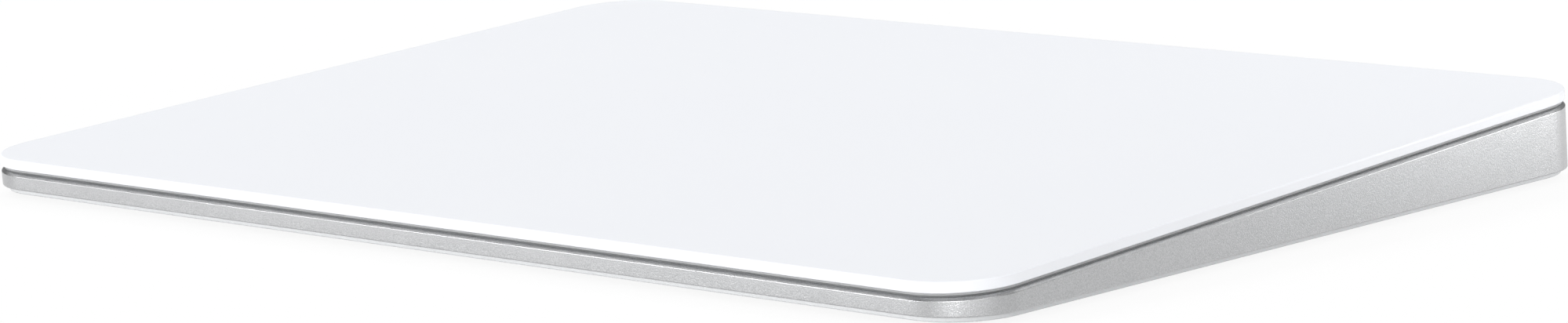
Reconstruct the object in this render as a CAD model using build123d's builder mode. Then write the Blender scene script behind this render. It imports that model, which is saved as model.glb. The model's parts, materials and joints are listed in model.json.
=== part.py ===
from build123d import *
from math import asin, cos, sin, tan
import os

# A wedge-shaped desktop trackpad. A glass touch surface floats on four
# force-sensing flexures inside an aluminium housing, over a white base plate.
# Millimetres, +Z up, +Y to the rear. The origin is on the desk, under the
# middle of the outline.

os.makedirs("parts", exist_ok=True)

# Outer form
width = 160.0
deck_length = 114.6  # front edge to rear edge, along the sloping top
front_height = 4.9  # desk to the top surface at the front edge
rear_height = 10.85  # desk to the top surface at the rear edge
corner_radius = 8.5

# Layers of the touch surface, each measured square to the top
glass_thickness = 1.22
glass_edge_round = 0.22
glass_under_chamfer = 0.1
film_thickness = 0.06  # adhesive film under the glass
sensor_thickness = 0.24
sensor_inset = 0.3
stiffener_thickness = 0.4

# Travel of the surface
press_travel = 0.15
haptic_travel = 0.15
run_clearance = 0.2  # left free beyond any travel
rim_clearance = 0.03  # left open over the rim when the surface is pressed

# Housing
wall = 1.8
rim_chamfer_height = 0.36
rim_chamfer_width = 0.35
wall_bottom = 1.165  # desk to the lower edge of the walls
wall_edge_chamfer = 0.12
floor_thickness = 1.0
stiffener_side_clearance = 0.55  # to the walls, past the sideways travel
stiffener_corner_radius = 5.0
overrun = 1.0  # how far every cutting shape runs past what it cuts

# Base plate and feet
base_bottom = 0.557
base_inset = 0.78
base_edge_chamfer = 0.12
base_adhesive_thickness = 0.1
base_adhesive_inset = 1.0
base_adhesive_width = 6.0
foot_radius = 5.0
foot_inset = 12.0  # base plate's edge to the middle of a foot
foot_pocket_depth = 0.2
foot_edge_chamfer = 0.15
foot_side_gap = 0.1

# Screws
screw_sides = 8  # screws and their holes are drawn with few sides
screw_radius = 0.65
screw_head_radius = 1.3
screw_head_height = 0.35
screw_depth = 0.8  # below the seat of the piece that it holds
screw_fit = 0.03
screw_end_gap = 0.05
clearance_hole_radius = 0.8
boss_radius = 2.1
boss_height = 0.4

# Force flexures
flexure_thickness = 0.4
flexure_pad_radius = 4.0
flexure_side_margin = 10.2  # inner wall to the middle of the pad, sideways
flexure_end_margin = 9.0  # inner wall to the middle of the pad, front or rear
flexure_neck_length = 11.0
flexure_neck_width = 5.0
flexure_root_length = 6.0
flexure_root_width = 9.0
flexure_neck_round = 0.8
flexure_screw_inset = 1.8  # root's side edge to the middle of a screw
gauge_length = 3.0
gauge_width = 2.4
gauge_thickness = 0.08
gauge_offset = 9.0  # middle of the pad to the middle of the gauge
gel_radius = 3.0
gel_thickness = 0.33
stud_thickness = 0.25
stud_radius = 3.2

# Battery
battery_front = 9.0
battery_side_gap = 7.0  # to the flexures' roots, with room for a ribbon
battery_rear_gap = 1.3  # to the rear board
battery_corner_radius = 2.0
battery_edge_chamfer = 0.6
battery_headroom = 0.25
tape_thickness = 0.1
tape_width = 8.0
tape_gap = 16.0
cell_board_length = 30.0
cell_board_depth = 3.0
cell_board_gap = 0.2

# Logic board
board_thickness = 0.6
logic_length = 44.0
logic_depth = 28.0
logic_wall_gap = 10.2  # right wall to the board
logic_front = -24.0
logic_screw_inset = 2.6
can_length = 18.0
can_depth = 15.0
can_inset_x = 6.0
can_inset_y = 3.5
can_sheet = 0.15
can_headroom = 0.2
chip_side = 7.0
chip_height = 0.7
chip_gap = 0.6
memory_length = 5.0
memory_depth = 3.2
connector_length = 9.0
connector_depth = 2.6
connector_height = 0.7

# Antenna
antenna_length = 32.0
antenna_depth = 6.0
antenna_sheet = 0.1
antenna_board_gap = 0.6
antenna_tail_width = 3.0
antenna_tail_reach = 2.2

# Haptic driver
haptic_left = -24.0
haptic_front = -21.0
bracket_thickness = 0.4
bracket_margin = 5.2  # bracket past the core, front and rear
core_back = 4.0
core_leg_length = 16.0
core_leg_width = 3.4
core_leg_gap = 4.8
core_thickness = 1.1
core_lift = 0.4
core_legs = 3
coil_length = 11.0
coil_build = 0.85
coil_height_build = 0.3
coil_fit = 0.05
coil_round = 0.25
pole_clearance = 0.35  # leg tips to the bar, past the sideways travel
attraction_bar_width = 4.0
tip_rib_width = 1.5

# Touch controller and its ribbon
window_length = 12.0
window_depth = 13.0
controller_side = 9.0
controller_height = 0.7
controller_left = -46.0
controller_front = -16.0
ribbon_thickness = 0.15
ribbon_width = 8.0
ribbon_bend = 0.35
ribbon_lap = 4.0

# Rear board, charge port and power switch
rear_board_flexure_gap = 3.0  # left end of the board to the flexure beside it
rear_board_port_margin = 9.5  # port to the right end of the board
rear_board_depth = 7.4
rear_board_wall_gap = 0.9
rear_screw_inset = 2.4  # rear edge of the board to its screws
port_width = 8.94
port_height = 3.26
port_shell_sheet = 0.3
port_depth = 7.3
port_recess = 0.5  # wall's outer face to the mouth of the shell
port_fit = 0.2
tongue_width = 6.69
tongue_thickness = 0.7
tongue_end_gap = 0.6
plug_depth = 1.2
plug_fit = 0.05
switch_board_margin = 10.0  # left end of the board to the middle of the switch
switch_slot_length = 7.0
switch_slot_height = 2.8
switch_travel = 3.0
switch_fit = 0.12
switch_recess = 0.25
flange_gap = 0.1
flange_thickness = 0.4
flange_overlap = 0.5
rib_width = 0.35
rib_gap = 0.45
rib_height = 0.12
rib_count = 3
lever_width = 1.4
lever_height = 1.2
lever_length = 1.1
switch_body_length = 8.4
switch_body_depth = 2.6
switch_body_gap = 0.5
switch_groove_depth = 1.0
switch_body_height = 3.2

# Flat ribbons between the boards
flat_ribbon_width = 3.0
flat_ribbon_bend = 2.2
flat_ribbon_lap = 5.0  # how far a ribbon reaches over a board
flat_ribbon_margin = 0.5

# Slope of the top and the levels that follow from it. A depth is measured
# square to the top surface, downwards.
slope = asin((rear_height - front_height) / deck_length)
rear_lean = (rear_height - wall_bottom) * tan(slope)
overall_depth = deck_length * cos(slope) + rear_lean
deck_y = (deck_length * cos(slope) - overall_depth) / 2
deck_z = (front_height + rear_height) / 2
deck = Plane(origin=(0, deck_y, deck_z), x_dir=(1, 0, 0), z_dir=(0, -sin(slope), cos(slope)))
deck_up = Axis((0, 0, 0), (0, -sin(slope), cos(slope)))

film_depth = glass_thickness
sensor_depth = film_depth + film_thickness
stiffener_depth = sensor_depth + sensor_thickness
stiffener_under = stiffener_depth + stiffener_thickness
shadow_gap = press_travel + rim_clearance
rim_depth = stiffener_depth + shadow_gap
stud_depth = stiffener_under + gel_thickness
flexure_depth = stud_depth + stud_thickness
flexure_under = flexure_depth + flexure_thickness
prism_height = rear_height + overrun

floor_top = wall_bottom + floor_thickness
base_top = wall_bottom - base_adhesive_thickness
board_bottom = floor_top + boss_height
board_top = board_bottom + board_thickness
inner_half_width = width / 2 - wall
inner_half_length = deck_length / 2 - wall
pad_u = inner_half_width - flexure_side_margin
pad_v = inner_half_length - flexure_end_margin
root_x = flexure_neck_length + flexure_root_length / 2
flexure_screw_spacing = flexure_root_width - 2 * flexure_screw_inset
root_end_u = pad_u - flexure_neck_length - flexure_root_length
battery_length = 2 * (root_end_u - battery_side_gap)
logic_right = inner_half_width - logic_wall_gap
logic_left = logic_right - logic_length
rear_board_left = rear_board_flexure_gap - root_end_u
rear_board_right = port_width / 2 + rear_board_port_margin
switch_x = rear_board_left + switch_board_margin

corners = {"front_left": (-1, -1), "front_right": (1, -1), "rear_left": (-1, 1), "rear_right": (1, 1)}


def ceiling(y):
    """Height of the moving surface's underside at y, when it is fully pressed."""
    depth = stiffener_under + press_travel
    return deck_z + (y - deck_y) * tan(slope) - depth / cos(slope)


def wall_y(height, v):
    """Row y of a wall that is square to the top at v along the slope, at a height."""
    top_z = deck_z + v * sin(slope)
    return deck_y + v * cos(slope) + (top_z - height) * tan(slope)


def corner_places(middle, length, depth):
    """The corners of a rectangle around a middle point."""
    x, y = middle
    return [(x + side * length / 2, y + end * depth / 2) for side, end in corners.values()]


def level_planes(places, height):
    """Level planes at places in the floor plan, all at one height."""
    return [Plane(origin=(x, y, height)) for x, y in places]


def low_screws(planes, grip):
    """Screws with low heads, seated on planes, that hold a piece as thick as the grip."""
    with BuildPart() as screws:
        with BuildSketch(*planes):
            RegularPolygon(screw_head_radius, screw_sides)
        extrude(amount=screw_head_height)
        with BuildSketch(*planes):
            RegularPolygon(screw_radius, screw_sides)
        extrude(amount=-(grip + screw_depth))
    return screws


def save(piece, name):
    piece.part.label = name
    export_step(piece.part, f"parts/{name}.step")


# Touch surface
with BuildPart() as cover_glass:
    with BuildSketch(deck):
        RectangleRounded(width, deck_length, corner_radius)
    extrude(amount=-glass_thickness)
    top_edges = cover_glass.faces().sort_by(deck_up)[-1].edges()
    fillet(top_edges, glass_edge_round)
    under_edges = cover_glass.faces().sort_by(deck_up)[0].edges()
    chamfer(under_edges, glass_under_chamfer)
save(cover_glass, "cover_glass")

sensor_width = width - 2 * sensor_inset
sensor_length = deck_length - 2 * sensor_inset
sensor_corner = corner_radius - sensor_inset

with BuildPart() as glass_adhesive:
    with BuildSketch(deck.offset(-film_depth)):
        RectangleRounded(sensor_width, sensor_length, sensor_corner)
    extrude(amount=-film_thickness)
save(glass_adhesive, "glass_adhesive")

with BuildPart() as touch_sensor_board:
    with BuildSketch(deck.offset(-sensor_depth)):
        RectangleRounded(sensor_width, sensor_length, sensor_corner)
    extrude(amount=-sensor_thickness)
save(touch_sensor_board, "touch_sensor_board")

# The stiffener hangs inside the walls. One window lets the touch controller
# through and the other the ribbon.
stiffener_side_gap = haptic_travel + stiffener_side_clearance
stiffener_width = 2 * (inner_half_width - stiffener_side_gap)
stiffener_length = 2 * (inner_half_length - stiffener_side_gap)
controller_at = (controller_left + controller_side / 2, controller_front + controller_side / 2)
ribbon_x = logic_left + logic_length - can_inset_x - connector_length / 2
ribbon_y = logic_front + logic_depth / 2
ribbon_window_at = (ribbon_x, (ribbon_y - deck_y) / cos(slope))

with BuildPart() as stiffener_plate:
    with BuildSketch(deck.offset(-stiffener_depth)):
        RectangleRounded(stiffener_width, stiffener_length, stiffener_corner_radius)
        with Locations(controller_at, ribbon_window_at):
            Rectangle(window_length, window_depth, mode=Mode.SUBTRACT)
    extrude(amount=-stiffener_thickness)
save(stiffener_plate, "stiffener_plate")

with BuildPart() as touch_controller:
    with BuildSketch(deck.offset(-stiffener_depth)):
        with Locations(controller_at):
            Rectangle(controller_side, controller_side)
    extrude(amount=-controller_height)
save(touch_controller, "touch_controller")

# Haptic driver: a flat comb-shaped core with a coil on each leg, which pulls
# the bar under the stiffener sideways.
core_bottom = floor_top + bracket_thickness + core_lift
core_leg_spacing = core_leg_width + core_leg_gap
core_span = (core_legs - 1) * core_leg_spacing + core_leg_width
core_y = haptic_front + core_span / 2
leg_x = haptic_left + core_back + core_leg_length / 2
leg_tip = haptic_left + core_back + core_leg_length

with BuildPart() as haptic_core:
    with BuildSketch(Plane.XY.offset(core_bottom)):
        with Locations((haptic_left + core_back / 2, core_y)):
            Rectangle(core_back, core_span)
        with Locations((leg_x, core_y)):
            with GridLocations(0, core_leg_spacing, 1, core_legs):
                Rectangle(core_leg_length, core_leg_width)
    extrude(amount=core_thickness)
save(haptic_core, "haptic_core")

coil_hole_width = core_leg_width + 2 * coil_fit
coil_hole_height = core_thickness + 2 * coil_fit
coil_mid_z = core_bottom + core_thickness / 2
for number in range(core_legs):
    leg_y = core_y + (number - (core_legs - 1) / 2) * core_leg_spacing
    coil_start = (leg_x - coil_length / 2, leg_y, coil_mid_z)
    coil_plane = Plane(origin=coil_start, x_dir=(0, 1, 0), z_dir=(1, 0, 0))
    with BuildPart() as haptic_coil:
        with BuildSketch(coil_plane):
            RectangleRounded(
                coil_hole_width + 2 * coil_build, coil_hole_height + 2 * coil_height_build, coil_round
            )
            Rectangle(coil_hole_width, coil_hole_height, mode=Mode.SUBTRACT)
        extrude(amount=coil_length)
    save(haptic_coil, f"haptic_coil_{number + 1}")

# The bracket lies on the floor. Its two ribs carry the core at the back and
# at the leg tips, beside the coils.
bracket_length = leg_tip - haptic_left
bracket_mid = ((haptic_left + leg_tip) / 2, core_y)
bracket_depth = core_span + 2 * bracket_margin
bracket_screws_at = corner_places(
    bracket_mid, bracket_length - 2 * screw_head_radius, bracket_depth - 2 * screw_head_radius
)

with BuildPart() as haptic_bracket:
    with BuildSketch(Plane.XY.offset(floor_top)):
        with Locations(bracket_mid):
            Rectangle(bracket_length, bracket_depth)
        with Locations(*bracket_screws_at):
            RegularPolygon(clearance_hole_radius, screw_sides, mode=Mode.SUBTRACT)
    extrude(amount=bracket_thickness)
    with BuildSketch(Plane.XY.offset(floor_top + bracket_thickness)):
        with Locations((haptic_left + core_back / 2, core_y)):
            Rectangle(core_back, core_span)
        with Locations((leg_tip - tip_rib_width / 2, core_y)):
            Rectangle(tip_rib_width, core_span)
    extrude(amount=core_lift)
save(haptic_bracket, "haptic_bracket")

bar_left = leg_tip + haptic_travel + pole_clearance
bar_v = (core_y - deck_y) / cos(slope)
with BuildPart() as attraction_bar:
    with BuildSketch(deck.offset(-stiffener_under)):
        with Locations((bar_left + attraction_bar_width / 2, bar_v)):
            Rectangle(attraction_bar_width, core_span)
    extrude(amount=-prism_height)
    split(bisect_by=Plane.XY.offset(core_bottom), keep=Keep.TOP)
save(attraction_bar, "attraction_bar")

# Four corners: flexure, gauge, stud and gel pad
def corner_plane(side, end, depth):
    """Plane at a corner's pad, at a depth, with its x axis towards the flexure's root."""
    origin = deck.from_local_coords((side * pad_u, end * pad_v, -depth))
    return Plane(origin=origin, x_dir=(-side, 0, 0), z_dir=deck.z_dir)


def neck_corners(outline):
    """The two inside corners of a flexure's outline, where its neck meets its root."""
    near = flexure_neck_round / 2
    half_neck = flexure_neck_width / 2 + near
    along = (flexure_neck_length - near, flexure_neck_length + near)
    at_root = outline.vertices().filter_by_position(Axis.X, *along)
    return at_root.filter_by_position(Axis.Y, -half_neck, half_neck)


for name, (side, end) in corners.items():
    with BuildPart() as flexure:
        with BuildSketch(corner_plane(side, end, flexure_depth)) as outline:
            Circle(flexure_pad_radius)
            with Locations((flexure_neck_length / 2, 0)):
                Rectangle(flexure_neck_length, flexure_neck_width)
            with Locations((root_x, 0)):
                Rectangle(flexure_root_length, flexure_root_width)
                with GridLocations(0, flexure_screw_spacing, 1, 2):
                    RegularPolygon(clearance_hole_radius, screw_sides, mode=Mode.SUBTRACT)
            fillet(neck_corners(outline), flexure_neck_round)
        extrude(amount=-flexure_thickness)
    save(flexure, f"force_flexure_{name}")

    with BuildPart() as gauge:
        with BuildSketch(corner_plane(side, end, flexure_depth)):
            with Locations((gauge_offset, 0)):
                Rectangle(gauge_length, gauge_width)
        extrude(amount=gauge_thickness)
    save(gauge, f"strain_gauge_{name}")

    with BuildPart() as stud:
        with BuildSketch(corner_plane(side, end, stud_depth)):
            Circle(stud_radius)
        extrude(amount=-stud_thickness)
    save(stud, f"load_stud_{name}")

    with BuildPart() as gel:
        with BuildSketch(corner_plane(side, end, stiffener_under)):
            Circle(gel_radius)
        extrude(amount=-gel_thickness)
    save(gel, f"gel_pad_{name}")


def flexure_screw_planes(depth):
    """Planes at the two screws of every flexure, at a depth."""
    planes = []
    for side, end in corners.values():
        root = corner_plane(side, end, depth)
        for way in (-1, 1):
            origin = root.from_local_coords((root_x, way * flexure_screw_spacing / 2, 0))
            planes.append(Plane(origin=origin, x_dir=(1, 0, 0), z_dir=deck.z_dir))
    return planes


# Places of the screws in the floor
logic_mid = (logic_left + logic_length / 2, logic_front + logic_depth / 2)
logic_screws_at = corner_places(
    logic_mid, logic_length - 2 * logic_screw_inset, logic_depth - 2 * logic_screw_inset
)
rear_board_rear = wall_y(board_top, inner_half_length) - rear_board_wall_gap
rear_board_front = rear_board_rear - rear_board_depth
rear_board_length = rear_board_right - rear_board_left
rear_board_x = (rear_board_left + rear_board_right) / 2
rear_board_mid = (rear_board_x, rear_board_rear - rear_board_depth / 2)
rear_screws_y = rear_board_rear - rear_screw_inset
rear_screws_at = [
    (rear_board_left + logic_screw_inset, rear_screws_y),
    (rear_board_right - logic_screw_inset, rear_screws_y),
]
board_screws_at = logic_screws_at + rear_screws_at

with BuildPart() as cavity:
    with BuildSketch(deck):
        RectangleRounded(2 * inner_half_width, 2 * inner_half_length, corner_radius - wall)
    extrude(amount=-prism_height)
    split(bisect_by=Plane.XY.offset(floor_top), keep=Keep.TOP)

port_mid_z = board_top + port_height / 2
port_mouth_y = wall_y(port_mid_z, deck_length / 2) - port_recess
switch_depth = (rear_height - port_mid_z) / cos(slope)
rear_wall = Plane(
    origin=deck.from_local_coords((0, deck_length / 2, 0)), x_dir=(1, 0, 0), z_dir=deck.y_dir
)
port_front_y = port_mouth_y - port_depth
port_plane = Plane(origin=(0, port_front_y, port_mid_z), x_dir=(1, 0, 0), z_dir=(0, 1, 0))

# Housing: a prism square to the sloping top, cut level at its foot
with BuildPart() as housing:
    with BuildSketch(deck.offset(-rim_depth)):
        RectangleRounded(width, deck_length, corner_radius)
    extrude(amount=-prism_height)
    rim_face = housing.faces().sort_by(deck_up)[-1]
    chamfer(rim_face.edges(), rim_chamfer_height, rim_chamfer_width, reference=rim_face)
    add(cavity.part, mode=Mode.SUBTRACT)
    for side, end in corners.values():
        with BuildSketch(corner_plane(side, end, flexure_under)):
            with Locations((root_x, 0)):
                Rectangle(flexure_root_length, flexure_root_width)
        extrude(amount=-prism_height)
    with BuildSketch(Plane.XY.offset(board_bottom)):
        with Locations(*board_screws_at):
            Circle(boss_radius)
    extrude(amount=-boss_height)
    split(bisect_by=Plane.XY.offset(wall_bottom), keep=Keep.TOP)
    foot_face = housing.faces().sort_by(Axis.Z)[0]
    chamfer(foot_face.outer_wire().edges(), wall_edge_chamfer)
    # Relief under each pad and neck, so that the flexure can bend
    for side, end in corners.values():
        with BuildSketch(corner_plane(side, end, flexure_under)):
            Circle(flexure_pad_radius + run_clearance)
            with Locations((flexure_neck_length / 2, 0)):
                Rectangle(flexure_neck_length, flexure_neck_width + 2 * run_clearance)
        extrude(amount=-(press_travel + run_clearance), mode=Mode.SUBTRACT)
    # Screw holes
    screw_seats = [
        *flexure_screw_planes(flexure_under),
        *level_planes(board_screws_at, board_bottom),
        *level_planes(bracket_screws_at, floor_top),
    ]
    with BuildSketch(*screw_seats):
        RegularPolygon(screw_radius + screw_fit, screw_sides)
    extrude(amount=-(screw_depth + screw_end_gap), mode=Mode.SUBTRACT)
    # Charge port and power switch openings in the rear wall
    with BuildSketch(port_plane):
        SlotOverall(port_width + 2 * port_fit, port_height + 2 * port_fit)
    extrude(amount=port_depth + port_recess + overrun, mode=Mode.SUBTRACT)
    with BuildSketch(rear_wall.offset(overrun)):
        with Locations((switch_x, switch_depth)):
            SlotOverall(switch_slot_length, switch_slot_height)
    extrude(amount=-(wall + 2 * overrun), mode=Mode.SUBTRACT)
save(housing, "housing")

# Base plate, its adhesive and the feet
base_front_y = wall_y(wall_bottom, -deck_length / 2) + base_inset
base_rear_y = wall_y(wall_bottom, deck_length / 2) - base_inset
base_y = (base_front_y + base_rear_y) / 2
base_width = width - 2 * base_inset
base_length = base_rear_y - base_front_y
base_corner = corner_radius - base_inset
foot_pitch_x = base_width - 2 * foot_inset
foot_pitch_y = base_length - 2 * foot_inset

with BuildPart() as base_plate:
    with BuildSketch(Plane.XY.offset(base_bottom)):
        with Locations((0, base_y)):
            RectangleRounded(base_width, base_length, base_corner)
    extrude(amount=base_top - base_bottom)
    lower_edges = base_plate.faces().sort_by(Axis.Z)[0].edges()
    chamfer(lower_edges, base_edge_chamfer)
    with BuildSketch(Plane.XY.offset(base_bottom)):
        with Locations((0, base_y)):
            with GridLocations(foot_pitch_x, foot_pitch_y, 2, 2):
                Circle(foot_radius + foot_side_gap)
    extrude(amount=foot_pocket_depth, mode=Mode.SUBTRACT)
save(base_plate, "base_plate")

adhesive_width = base_width - 2 * base_adhesive_inset
adhesive_length = base_length - 2 * base_adhesive_inset
adhesive_corner = base_corner - base_adhesive_inset
with BuildPart() as base_adhesive:
    with BuildSketch(Plane.XY.offset(base_top)):
        with Locations((0, base_y)):
            RectangleRounded(adhesive_width, adhesive_length, adhesive_corner)
            RectangleRounded(
                adhesive_width - 2 * base_adhesive_width,
                adhesive_length - 2 * base_adhesive_width,
                adhesive_corner / 2,
                mode=Mode.SUBTRACT,
            )
    extrude(amount=base_adhesive_thickness)
save(base_adhesive, "base_adhesive")

for name, (side, end) in corners.items():
    with BuildPart() as foot:
        with BuildSketch(Plane.XY):
            with Locations((side * foot_pitch_x / 2, base_y + end * foot_pitch_y / 2)):
                Circle(foot_radius)
        extrude(amount=base_bottom + foot_pocket_depth)
        chamfer(foot.faces().sort_by(Axis.Z)[0].edges(), foot_edge_chamfer)
    save(foot, f"rubber_foot_{name}")

# Battery
battery_depth = rear_board_front - battery_rear_gap - battery_front
battery_bottom = floor_top + tape_thickness
battery_top = ceiling(battery_front) - battery_headroom
battery_mid = (0, battery_front + battery_depth / 2)
with BuildPart() as battery_cell:
    with BuildSketch(Plane.XY.offset(battery_bottom)):
        with Locations(battery_mid):
            RectangleRounded(battery_length, battery_depth, battery_corner_radius)
    extrude(amount=battery_top - battery_bottom)
    flat_edges = battery_cell.faces().filter_by(Axis.Z).edges()
    chamfer(flat_edges, battery_edge_chamfer)
save(battery_cell, "battery_cell")

with BuildPart() as battery_adhesive:
    with BuildSketch(Plane.XY.offset(floor_top)):
        with Locations(battery_mid):
            with GridLocations(tape_width + tape_gap, 0, 3, 1):
                Rectangle(tape_width, battery_depth - 2 * battery_corner_radius)
    extrude(amount=tape_thickness)
save(battery_adhesive, "battery_adhesive")

cell_board_y = battery_front - cell_board_gap - cell_board_depth / 2
with BuildPart() as battery_board:
    with BuildSketch(Plane.XY.offset(floor_top)):
        with Locations((0, cell_board_y)):
            Rectangle(cell_board_length, cell_board_depth)
    extrude(amount=board_top - floor_top)
save(battery_board, "battery_board")

# Logic board with its can, chips and connectors
with BuildPart() as logic_board:
    with BuildSketch(Plane.XY.offset(board_bottom)):
        with Locations(logic_mid):
            Rectangle(logic_length, logic_depth)
        with Locations(*logic_screws_at):
            RegularPolygon(clearance_hole_radius, screw_sides, mode=Mode.SUBTRACT)
    extrude(amount=board_thickness)
save(logic_board, "logic_board")

can_x = logic_left + can_inset_x + can_length / 2
can_y = logic_front + can_inset_y + can_depth / 2
can_top = ceiling(logic_front + can_inset_y) - can_headroom
with BuildPart() as shield_can:
    with BuildSketch(Plane.XY.offset(board_top)):
        with Locations((can_x, can_y)):
            Rectangle(can_length, can_depth)
    extrude(amount=can_top - board_top)
    with BuildSketch(Plane.XY.offset(board_top)):
        with Locations((can_x, can_y)):
            Rectangle(can_length - 2 * can_sheet, can_depth - 2 * can_sheet)
    extrude(amount=can_top - board_top - can_sheet, mode=Mode.SUBTRACT)
save(shield_can, "shield_can")

chip_pitch = chip_side / 2 + chip_gap + memory_length / 2
with BuildPart() as logic_chips:
    with BuildSketch(Plane.XY.offset(board_top)):
        with Locations((can_x - chip_pitch / 2, can_y)):
            Rectangle(chip_side, chip_side)
        with Locations((can_x + chip_pitch / 2 + chip_gap, can_y)):
            with GridLocations(0, memory_depth + chip_gap, 1, 3):
                Rectangle(memory_length, memory_depth)
    extrude(amount=chip_height)
save(logic_chips, "logic_chips")

# Flat ribbons lie on the boards, which are level with each other. Each ends
# against its connector.
ribbon_end_y = logic_front + logic_depth - flat_ribbon_lap
lead_x = logic_left + logic_screw_inset + screw_head_radius + flat_ribbon_margin + flat_ribbon_width / 2
corridor_x = battery_length / 2 + flat_ribbon_margin + flat_ribbon_width / 2
link_y = rear_board_front + flat_ribbon_width / 2
lead_start = (flat_ribbon_lap - cell_board_length / 2, cell_board_y)
lead_points = [lead_start, (lead_x, cell_board_y), (lead_x, ribbon_end_y)]
link_start = (rear_board_right - flat_ribbon_lap, link_y)
link_points = [link_start, (corridor_x, link_y), (corridor_x, ribbon_end_y)]


def flat_ribbon(points):
    """A flat ribbon of one width along a bent route, on top of the boards."""
    with BuildPart() as ribbon:
        with BuildSketch(Plane.XY.offset(board_top)):
            with BuildLine():
                FilletPolyline(*points, radius=flat_ribbon_bend)
            trace(line_width=flat_ribbon_width)
        extrude(amount=ribbon_thickness)
    return ribbon


save(flat_ribbon(lead_points), "battery_lead")
save(flat_ribbon(link_points), "rear_ribbon")

connector_y = ribbon_end_y - connector_depth / 2
with BuildPart() as board_connectors:
    with BuildSketch(Plane.XY.offset(board_top)):
        with Locations((ribbon_x, ribbon_y)):
            Rectangle(connector_length, connector_depth)
        with Locations((lead_x, connector_y), (corridor_x, connector_y)):
            Rectangle(connector_length / 2, connector_depth)
    extrude(amount=connector_height)
save(board_connectors, "board_connectors")

# The touch ribbon is folded once, from the sensor board through the window in
# the stiffener to the top of its connector.
connector_top = board_top + connector_height


def under_sensor(y):
    """Height of the sensor board's underside at y."""
    return deck_z + (y - deck_y) * tan(slope) - stiffener_depth / cos(slope)


half_ribbon = ribbon_thickness / 2
fold_y = ribbon_y + ribbon_lap / 2
tail_y = ribbon_y - ribbon_lap
ribbon_route = [
    (tail_y, under_sensor(tail_y) - half_ribbon / cos(slope)),
    (fold_y, under_sensor(fold_y) - half_ribbon / cos(slope)),
    (fold_y, connector_top + half_ribbon),
    (ribbon_y - connector_depth / 2, connector_top + half_ribbon),
]
with BuildPart() as touch_ribbon:
    with BuildSketch(Plane.YZ.offset(ribbon_x - ribbon_width / 2)):
        with BuildLine():
            FilletPolyline(*ribbon_route, radius=ribbon_bend)
        trace(line_width=ribbon_thickness)
    extrude(amount=ribbon_width)
save(touch_ribbon, "touch_ribbon")

# Antenna, level with the logic board and just in front of it
antenna_y = logic_front - antenna_board_gap - antenna_depth / 2
antenna_rear = logic_front - antenna_board_gap
tail_length = antenna_board_gap + antenna_tail_reach
with BuildPart() as antenna_carrier:
    with BuildSketch(Plane.XY.offset(floor_top)):
        with Locations((logic_mid[0], antenna_y)):
            Rectangle(antenna_length, antenna_depth)
    extrude(amount=board_top - floor_top)
save(antenna_carrier, "antenna_carrier")

with BuildPart() as antenna:
    with BuildSketch(Plane.XY.offset(board_top)):
        with Locations((logic_mid[0], antenna_y)):
            Rectangle(antenna_length - 2 * antenna_board_gap, antenna_depth - 2 * antenna_board_gap)
        with Locations((logic_mid[0], antenna_rear - antenna_board_gap)):
            Rectangle(antenna_tail_width, 2 * antenna_board_gap)
        with Locations((logic_mid[0], antenna_rear + tail_length / 2)):
            Rectangle(antenna_tail_width, tail_length)
    extrude(amount=antenna_sheet)
save(antenna, "antenna")

# Rear board with the charge port and the body of the power switch
with BuildPart() as rear_board:
    with BuildSketch(Plane.XY.offset(board_bottom)):
        with Locations(rear_board_mid):
            Rectangle(rear_board_length, rear_board_depth)
        with Locations(*rear_screws_at):
            RegularPolygon(clearance_hole_radius, screw_sides, mode=Mode.SUBTRACT)
    extrude(amount=board_thickness)
save(rear_board, "rear_board")

port_inner_width = port_width - 2 * port_shell_sheet
port_inner_height = port_height - 2 * port_shell_sheet
with BuildPart() as charge_port_shell:
    with BuildSketch(port_plane):
        SlotOverall(port_width, port_height)
    extrude(amount=port_depth)
    with BuildSketch(port_plane.offset(port_shell_sheet)):
        SlotOverall(port_inner_width, port_inner_height)
    extrude(amount=port_depth, mode=Mode.SUBTRACT)
save(charge_port_shell, "charge_port_shell")

tongue_length = port_depth - port_shell_sheet - plug_depth - tongue_end_gap
with BuildPart() as charge_port_tongue:
    with BuildSketch(port_plane.offset(port_shell_sheet)):
        SlotOverall(port_inner_width - 2 * plug_fit, port_inner_height - 2 * plug_fit)
    extrude(amount=plug_depth)
    with BuildSketch(port_plane.offset(port_shell_sheet + plug_depth)):
        Rectangle(tongue_width, tongue_thickness)
    extrude(amount=tongue_length)
save(charge_port_tongue, "charge_port_tongue")

# The power switch's knob fills part of the slot. Its flange closes the rest
# from inside, and its lever works the switch body. It rests at the off end.
knob_x = switch_x - switch_travel / 2
knob_length = switch_slot_length - switch_travel - 2 * switch_fit
knob_height = switch_slot_height - 2 * switch_fit
flange_start = wall + flange_gap
flange_end = flange_start + flange_thickness
flange_length = switch_slot_length + switch_travel + 2 * flange_overlap
with BuildPart() as switch_knob:
    with BuildSketch(rear_wall.offset(-flange_start)):
        with Locations((knob_x, switch_depth)):
            SlotOverall(knob_length, knob_height)
    extrude(amount=flange_start - switch_recess)
    with BuildSketch(rear_wall.offset(-switch_recess)):
        with Locations((knob_x, switch_depth)):
            with GridLocations(rib_width + rib_gap, 0, rib_count, 1):
                Rectangle(rib_width, knob_height / 2)
    extrude(amount=rib_height)
    with BuildSketch(rear_wall.offset(-flange_end)):
        with Locations((knob_x, switch_depth)):
            RectangleRounded(flange_length, switch_slot_height + 2 * flange_overlap, flange_overlap)
    extrude(amount=flange_thickness)
    with BuildSketch(rear_wall.offset(-flange_end - lever_length)):
        with Locations((knob_x, switch_depth)):
            Rectangle(lever_width, lever_height)
    extrude(amount=lever_length)
save(switch_knob, "switch_knob")

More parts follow.
